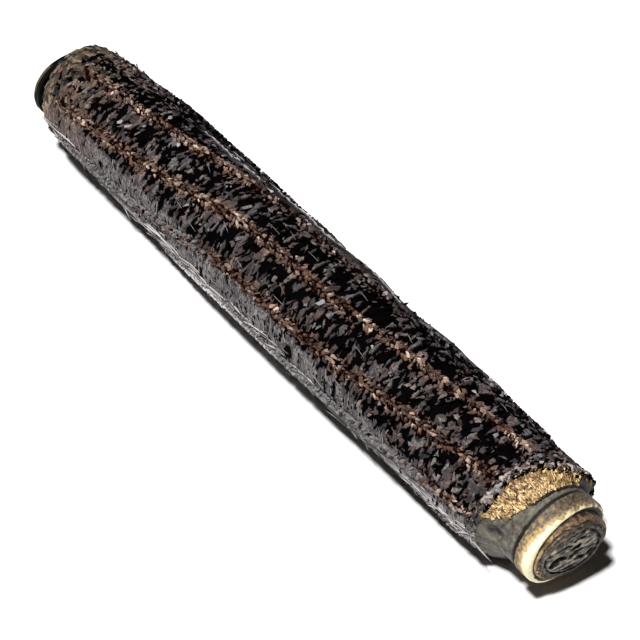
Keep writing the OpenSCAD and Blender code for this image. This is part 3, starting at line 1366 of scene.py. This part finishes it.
# %% The torn edge of the hide
torn_count = 95
torn_size = ((0.8, 1.6), (0.4, 0.8), (0.2, 0.35))
torn_tones = (black_tone, 0.5, 0.6, 0.7, 0.8)
scrap_count = 900
scrap_size = ((0.8, 1.7), (0.4, 0.8), (0.15, 0.30))
scrap_tones = (black_tone, black_tone, 0.3, 0.4, 0.5, 0.58)
edge_shadow_count = 90
edge_shadow_size = ((0.6, 1.4), (0.2, 0.4), (0.2, 0.2))


def torn_look(x, angle, rng):
    return rng.choice(torn_tones), rng.choice((0.0, 0.4))


def scrap_look(x, angle, rng):
    look = (rng.choice(scrap_tones), rng.choice((0.0, 0.3)))
    # Where rubbed, scraps take the painted sheen and part of the painted reflection below.
    if rng.random() < rub_and_sheen(x_cover_end, angle):
        look = (rng.uniform(0.42, 0.62) + 0.6 * painted_reflection_below(x_cover_end, angle), 0.0)
    return look


# Black plates just past the torn edge: a painted shadow under it.
def edge_shadow_look(x, angle, rng):
    return black_look


def scrap_start(angle):
    return x_cover_end - 1.0 * mm


at_edge = settle_beside(torn_at, (-60, 54), (-1.1, -0.1), 0.22, 0.5)
behind_edge = settle_between(6, scrap_start, torn_at, 0.05, math.pi / 2)
under_edge = settle_beside(torn_at, (-60, 60), (-0.1, 0.25), 0.08, 0.3)
torn_bm = strew(add_plate, torn_count, at_edge, torn_size, torn_look, band_rng, (-0.2, 0.4))
join(torn_bm, strew(add_plate, scrap_count, behind_edge, scrap_size, scrap_look, band_rng, (-0.1, 0.4)))
join(torn_bm, strew(add_plate, edge_shadow_count, under_edge, edge_shadow_size, edge_shadow_look, band_rng, ragged=0.4))
add_piece(torn_bm, "torn_hide_edge", "near_band", hide_finish)

# %% [markdown]
# The neck is the grey sleeve that runs under the whole cover. Only its near end shows, so only that part is
# cut fine and gets soft folds. In front of it lies a groove, which is the same sleeve turned smaller and
# painted black as painted shade.

# %% Neck sleeve
x_neck_shown = 50 * mm
neck_bore = outer_r + fit
groove_start = 0.05 * mm
groove_depth = 0.45 * mm
x_neck_lip = x_neck_end - 0.22 * mm
x_groove_end = x_ring - 0.03 * mm


def shape_neck(x, r, angle, place):
    if r < neck_bore + bore_margin:
        return x, r, 0.3, 0.0
    # The groove is painted black, as painted shade.
    if x > x_neck_lip + groove_start / 2:
        return x, from_table(neck_radius, angle) - groove_depth, black_tone, 0.0
    if x < x_neck_shown - 1 * mm:
        tone = 0.60 * fade(turn_of(angle), 82, 94) - 0.1 + 0.2 * wobble(place, 0.6 * mm)
        return x, min(r, neck_bore + 0.2 * mm), tone, 0.25
    folds = skin_bumps * wobble((place.x * 0.5, place.y, place.z), 1.2 * mm)
    top = from_table(neck_radius, angle) + folds - dimple_depth * dimple(x, angle)
    return x, top, skin_tone_and_hollow_shade(x, angle, place), 0.0


neck_stations = (x_neck_start, x_neck_shown - 2 * mm, x_neck_shown, x_neck_lip, x_neck_lip + groove_start,
                 x_groove_end)
neck_outline = [(neck_bore, x_neck_start), *((sleeve_r, x) for x in neck_stations),
                (neck_bore, x_groove_end)]
neck_bm = reshape(lathe(neck_outline, step=0.2 * mm, turns=180, fine_from=x_neck_shown), shape_neck)
add_piece(neck_bm, "grey_neck", "neck_sleeve", neck_finish)

# %% [markdown]
# The ring at the near end is grained hide with a lip that has worn cream. The lip could have a material of
# its own, but its edge would then follow the faces. Here the warm attribute blends it in. Tables by angle
# say where the cream starts, how far it reaches inwards on the front face, how far the ring swells and how
# light it is, which is painted lighter at the front and darker at the back as painted light. Streaks along
# the stick make the cream's edge uneven.

# %% Head ring with its cream lip
lip = 0.55 * mm
lip_bevel = lip * 0.3
cream_start = ((-180, 2.6), (-40, 2.6), (0, 2.5), (20, 2.3), (45, 1.75), (70, 1.35), (95, 1.3), (120, 1.8),
               (150, 2.5), (180, 2.6))
cream_inside = ((-180, 6.5), (-20, 6.45), (20, 6.3), (60, 6.2), (100, 6.1), (130, 6.3), (180, 6.5))
ring_swell = ((-180, 0.1), (-60, 0.45), (20, 0.1), (100, 0.15), (180, 0.1))
ring_tone_and_light = ((-180, 0.35), (-60, 0.38), (-20, 0.45), (30, 0.70), (100, 0.76), (140, 0.50), (180, 0.35))


def shape_ring(x, r, angle, place):
    if r < neck_bore + bore_margin:
        return x, r, 0.1, 0.0
    streak = noise.noise(Vector((x / (1.2 * mm), angle * 9.0, 2.0))) + 0.4 * wobble(place, 0.3 * mm)
    start = x_ring + from_table(cream_start, angle) + 0.5 * mm * streak
    cream = fade(x, start, start + 0.25 * mm)
    grain = wobble(place, 0.42 * mm) + 0.6 * wobble(place, 0.2 * mm)
    lighter = 0.35 * fade(x, start - 1.0 * mm, start)
    # Lighter towards the front and darker at the back: painted light.
    tone = read_table(ring_tone_and_light, turn_of(angle)) + 0.30 * grain + lighter - 0.2
    if cream > 0.5:
        tone = 0.70 + 0.25 * grain + 0.3 * streak
    if x > x_ring_end - 0.1 * mm and r < from_table(cream_inside, angle):
        tone, cream = 0.05, 0.0
    return x, r + from_table(ring_swell, angle) + 0.07 * mm * grain * (1 - cream), tone, cream


ring_outline = [(neck_bore, x_ring), (ring_r, x_ring), (ring_r, x_ring_end - lip),
                (ring_r - lip_bevel, x_ring_end - lip_bevel), (ring_r - lip, x_ring_end),
                (neck_bore, x_ring_end)]
ring_bm = reshape(lathe(ring_outline, step=0.12 * mm, turns=240), shape_ring)
add_piece(ring_bm, "cream_head_ring", "head_ring", ring_finish)

# %% [markdown]
# ## The ink bar
# The bar is rolled from layers, and it was worn down at a slant, so both of its end faces lean. The layers
# show as rings: a tan one, a grey one and the cracked ink itself. The lean, the rings and the cracks are
# all moves of the points of turned pieces. A layer is painted lightest towards the front, as painted
# light, and the grey one is brown on top.

# %% How the ends lean
lean_angle = math.radians(-72)
far_lean_angle = math.radians(-20)
far_lean_depth = 0.8 * mm


def lean(angle, gain, loss):
    turn = math.cos(angle - lean_angle)
    return turn * (gain if turn > 0 else loss) * mm


def far_lean(x, r, angle):
    if x > x_mid:
        return 0.0
    return far_lean_depth * (1 + r / band_r * math.cos(angle - far_lean_angle))


print("the far face leans by", round(far_lean(x_far, sleeve_r, far_lean_angle) / mm, 2), "mm at its rim")


# %% Shape of a layer
layer_rings = 16
layer_edge = 0.12 * mm
layer_brown = ((-180, 0.1), (-110, 0.3), (-60, 0.7), (0, 1.0), (35, 0.9), (65, 0.3), (110, 0.1), (180, 0.1))
layer_painted_light = ((-180, 0.40), (-110, 0.42), (-30, 0.50), (20, 0.75), (60, 1.0), (110, 1.0), (140, 0.6),
               (180, 0.40))


def layer_outline(bore, r, x_end):
    outer = r - layer_edge
    face = [(outer - (outer - bore) * i / layer_rings, x_end) for i in range(layer_rings + 1)]
    return [(bore, x_ink_far), (outer, x_ink_far), (r, x_ink_far + layer_edge), (r, x_ring),
            (r, x_end - layer_edge), *face]


def make_layer(name, node, finish, bore, r, x_end, gain, loss, bands, browned=False):
    def shape_layer(x, r_here, angle, place):
        if x < x_ring:
            return x + far_lean(x, r_here, angle), r_here, 0.25 + 0.5 * wobble(place, 0.6 * mm), 0.3
        share = (r_here - bore) / (r - bore)
        ragged = noise.noise(Vector((share * 2.0, math.cos(angle) * 7.0, math.sin(angle) * 7.0)))
        tone, warm, relief = bands(share + 0.22 * ragged)
        if browned:
            brown = read_table(layer_brown, turn_of(angle))
            warm *= brown
            tone = max(tone, 0.45 - 0.55 * brown)
        front = fade(x, x_ring_end, x_end)
        if r_here > r - 0.02 * mm:
            tone, warm = 0.55 * front, 0.3
        move = lean(angle, gain, loss) + (relief + 0.16 * ragged) * mm
        wave = noise.noise(Vector((math.cos(angle) * 2.4, math.sin(angle) * 2.4, 5.0)))
        # Lighter towards the front and darker behind and below: painted light.
        light = read_table(layer_painted_light, turn_of(angle))
        tone = tone * light + 0.35 * ragged + 0.4 * wobble(place, 0.35 * mm)
        return x + front * move, r_here + front * 0.12 * mm * wave, tone, warm * light

    bm = lathe(layer_outline(bore, r, x_end), step=0.25 * mm, turns=200, fine_from=x_ring)
    add_piece(reshape(bm, shape_layer), name, node, finish)


# %% [markdown]
# Across its thickness a layer has bands of its own: a dark gap at its outer edge, then lighter and darker
# rings. Each band is a tone, a warmth and a height in millimetres.

# %% The two layers round the ink
def tan_bands(share):
    if share > 0.92:
        return 0.0, 0.0, -0.30
    if share > 0.42:
        return 0.72, 0.45, 0.0
    if share > 0.28:
        return 0.15, 0.0, -0.10
    return 0.60, 0.20, 0.0


def grey_bands(share):
    if share > 0.84:
        return 0.0, 0.0, -0.25
    if share > 0.22:
        return 0.58, 1.0, 0.05
    return -0.1, 0.0, -0.30


make_layer("tan_layer", "outer_ink_wrap", brown_finish, inner_r + fit, outer_r,
           x_outer_end, gain=1.15, loss=0.55, bands=tan_bands)
make_layer("grey_layer", "inner_ink_wrap", pale_finish, core_r + fit, inner_r,
           x_inner_end, gain=0.70, loss=0.85, bands=grey_bands, browned=True)

# %% [markdown]
# Dry ink shrinks and cracks. A boolean could cut the cracks, but it would leave thin slivers of faces, so
# the points of a finely cut face are moved down instead. Each large crack is a bowed line on the end face,
# given by its two ends, its bow, its width and its depth in millimetres. It is widest in the middle and
# runs out at both ends. The fine lines between the cracks are a noise stretched along the lean.

# %% Cracks in the ink
cracks = (
    (-4.0, -0.3, -1.2, 0.2, 0.45, 0.48, 1.0),
    (-1.1, -0.7, 1.5, -0.1, 0.20, 0.28, 0.8),
    (-0.4, 1.1, 1.6, 0.9, 0.15, 0.24, 0.7),
    (-0.4, -1.8, 1.5, -2.9, 0.15, 0.28, 0.8),
    (1.6, -2.6, 3.0, -2.9, 0.00, 0.42, 0.9),
    (-2.8, -3.0, 0.1, -3.7, 0.20, 0.26, 0.7),
    (0.4, 2.4, 2.6, 1.8, 0.20, 0.16, 0.5),
    (2.0, -1.2, 3.3, -1.3, 0.10, 0.14, 0.5),
    (-2.4, 2.6, 0.2, 2.0, 0.30, 0.12, 0.4),
)
least_width = 0.02


def crack_depth(u, v):
    depth = 0.0
    for u_from, v_from, u_to, v_to, bow, width, deep in cracks:
        run, climb = u_to - u_from, v_to - v_from
        length = math.hypot(run, climb)
        share = ((u - u_from) * run + (v - v_from) * climb) / length**2
        if 0 < share < 1:
            aside = ((v - v_from) * run - (u - u_from) * climb) / length
            swing = 4 * share * (1 - share)
            gap = (aside - bow * swing) / (width * math.sqrt(swing) + least_width)
            depth = max(depth, deep * math.exp(-(gap**2)))
    return depth


print("the longest crack is", round(crack_depth(-2.68, 0.39), 2), "mm deep in its middle")


# %% The cracked core
core_edge = 0.3 * mm
core_slant = 0.62
far_rings = 14


def shape_core(x, r, angle, place):
    if x < x_ring:
        rough = wobble(place, 0.9 * mm) + 0.6 * wobble(place, 0.4 * mm)
        return x + far_lean(x, r, angle) + 0.1 * mm * (rough + 1), r, 0.25 + 0.5 * rough, 0.1
    u = r / mm * math.cos(angle - lean_angle)
    v = r / mm * math.sin(angle - lean_angle)
    streak = noise.noise(Vector((u / 2.0, v / 0.45, 4.0)))
    streak += 0.5 * noise.noise(Vector((u / 0.8, v / 0.25, 9.0)))
    crack = crack_depth(u, v)
    front = fade(x, x_ring_end, x_core_end)
    slant = core_slant * (u / (core_r / mm) - 1)
    dome = -0.25 * (r / core_r) ** 2
    move = slant + dome + 0.12 * streak - crack
    fleck = 0.8 * wobble(place, 0.65 * mm) + 0.5 * wobble(place, 0.24 * mm)
    # The tone drops with the crack's depth: the cracks are painted dark as painted shade.
    tone = 0.50 + 0.75 * streak + fleck - 1.6 * crack
    return x + front * move * mm, r + 0.1 * mm * streak * (r > core_r * 0.98), tone, 0.15


far_face = [((core_r - core_edge) * i / far_rings, x_ink_far) for i in range(far_rings + 1)]
core_sides = [(core_r, x) for x in (x_ink_far + core_edge, x_ring, x_core_end - core_edge)]
core_outline = [*far_face, *core_sides, (core_r - core_edge, x_core_end), (0.0, x_core_end)]
core_bm = lathe(core_outline, step=0.12 * mm, turns=160, fine_from=x_ring, closed=False)
add_piece(reshape(core_bm, shape_core), "cracked_core", "ink_core", ink_finish)

# %% [markdown]
# ## The far end
# The far end has a soft shoulder of matted fibre that hangs further down on the top than on the front.
# Below it a brown neck shows, and then the dark rim. The shoulder is turned like the near band and carries
# flat flakes of olive and brown, some of which spread on to the strips.

# %% Far band: its base
far_edge_x = ((-180, -60.6), (-60, -61.6), (-20, -61.6), (10, -61.2), (45, -59.9), (90, -58.7),
              (130, -58.9), (180, -60.6))
far_edge_r = ((-180, 7.2), (-100, 6.6), (-60, 6.35), (-10, 6.3), (20, 6.7), (45, 7.6), (90, 8.2),
              (130, 8.2), (180, 7.2))
x_far_seat = x_cover + 0.3 * mm
far_blank = 4 * mm


def far_edge_at(angle):
    return from_table(far_edge_x, angle)


def far_r(x, angle):
    edge_r = from_table(far_edge_r, angle)
    seat = band_r + swell(x_cover, angle)
    share = min(1.0, max(0.0, (x_far_seat - x) / (x_far_seat - far_edge_at(angle))))
    return edge_r + (seat - edge_r) * math.sqrt(1 - share**2.2)


def shape_far_band(x, r, angle, place):
    share = (x_far_seat - x) / far_blank
    x = x_far_seat - share * (x_far_seat - far_edge_at(angle))
    if r < band_bore + bore_margin:
        return x, r, 0.1, 0.0
    bumps = 0.1 * mm * wobble(place, 0.8 * mm) - 0.05 * mm
    return x, far_r(x, angle) + bumps, 0.25 + 0.5 * wobble(place, 0.7 * mm), 0.0


far_outline = [(band_bore, x_far_seat), (band_r, x_far_seat), (band_r, x_far_seat - far_blank),
               (band_bore, x_far_seat - far_blank)]
far_bm = reshape(lathe(far_outline, step=0.25 * mm, turns=180), shape_far_band)
print("the far band's base has", len(far_bm.faces), "faces")

# %% Far band: its flakes
far_count = 1000
far_size = ((0.9, 2.3), (0.5, 1.2), (0.13, 0.24))
far_tones = (black_tone, black_tone, black_tone, 0.3, 0.4, 0.5, 0.6, 0.7, 0.85)
far_step = 0.2 * mm
far_spread = 7.5 * mm
far_seed = 302


def far_reach(angle):
    return x_cover + far_spread * (1 - rub_and_sheen(x_cover, angle))


def on_far_end(x, angle, drift):
    if x > x_far_seat:
        slope = 0.0
        top = lining_at(x) + fit + strip_thickness + swell(x, angle)
    else:
        slope = math.atan2(far_r(x + far_step, angle) - far_r(x - far_step, angle), 2 * far_step)
        top = far_r(x, angle)
    outward, round_way = directions_at(angle)
    onward = Vector((-math.cos(slope), 0, 0)) - outward * math.sin(slope)
    along = (onward * math.sin(drift) + round_way * math.cos(drift)).normalized()
    upward = outward * math.cos(slope) - Vector((math.sin(slope), 0, 0))
    return on_stick(x, top, angle), along, upward


def settle_far(rng):
    x, angle = pick_between(rng, 9 * mm, far_edge_at, far_reach)
    return x, angle, on_far_end(x, angle, rng.uniform(-0.9, 0.9))


def far_look(x, angle, rng):
    look = (rng.choice(far_tones), 0.6 if rng.random() < 0.12 else 0.0)
    if 72 < turn_of(angle) < 98:
        look = (rng.uniform(0.7, 1.1), 0.25)
    return look


far_rng = random.Random(far_seed)
join(far_bm, strew(add_plate, far_count, settle_far, far_size, far_look, far_rng, (-0.1, 0.35)))
add_piece(far_bm, "speckled_band", "far_band", far_finish)

# %% [markdown]
# The rim past the gap is a ring of its own, about as wide as the neck and almost black. It leans like the
# layers inside it. A short stretch of its outer edge is painted pale, a little above the front, as a
# painted highlight.

# %% Far rim
rim_radius = ((-180, 6.9), (-100, 6.3), (-60, 6.2), (10, 6.2), (30, 6.7), (45, 7.2), (70, 7.6), (110, 7.7),
              (150, 7.4), (180, 6.9))


def shape_rim(x, r, angle, place):
    leaning = x + far_lean(x, r, angle)
    if r < neck_bore + bore_margin:
        return leaning, r, 0.1, 0.0
    turn = turn_of(angle)
    # A painted highlight on the rim's edge, a little above the front.
    rim_highlight = fade(turn, 30, 42) * fade(turn, 90, 78) * fade(x, x_far + 0.7 * mm, x_far + 0.4 * mm)
    top = from_table(rim_radius, angle) + 0.06 * mm * wobble(place, 1.2 * mm)
    return leaning, top, 0.7 * rim_highlight - 0.1, 0.6 * rim_highlight


rim_outline = [(neck_bore, x_far), (sleeve_r, x_far), (sleeve_r, x_far_rim_end), (neck_bore, x_far_rim_end)]
rim_bm = reshape(lathe(rim_outline, step=0.2 * mm, turns=160), shape_rim)
add_piece(rim_bm, "dark_far_rim", "far_rim", rim_finish)

# %% [markdown]
# The lining is out of sight under the strips and the cords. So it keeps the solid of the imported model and
# only gets a plain finish.

# %% Lining
lining = nodes["cover_lining"]
lining.data.materials.clear()
lining.data.materials.append(lining_finish)
print("lining finish:", lining_finish.name)
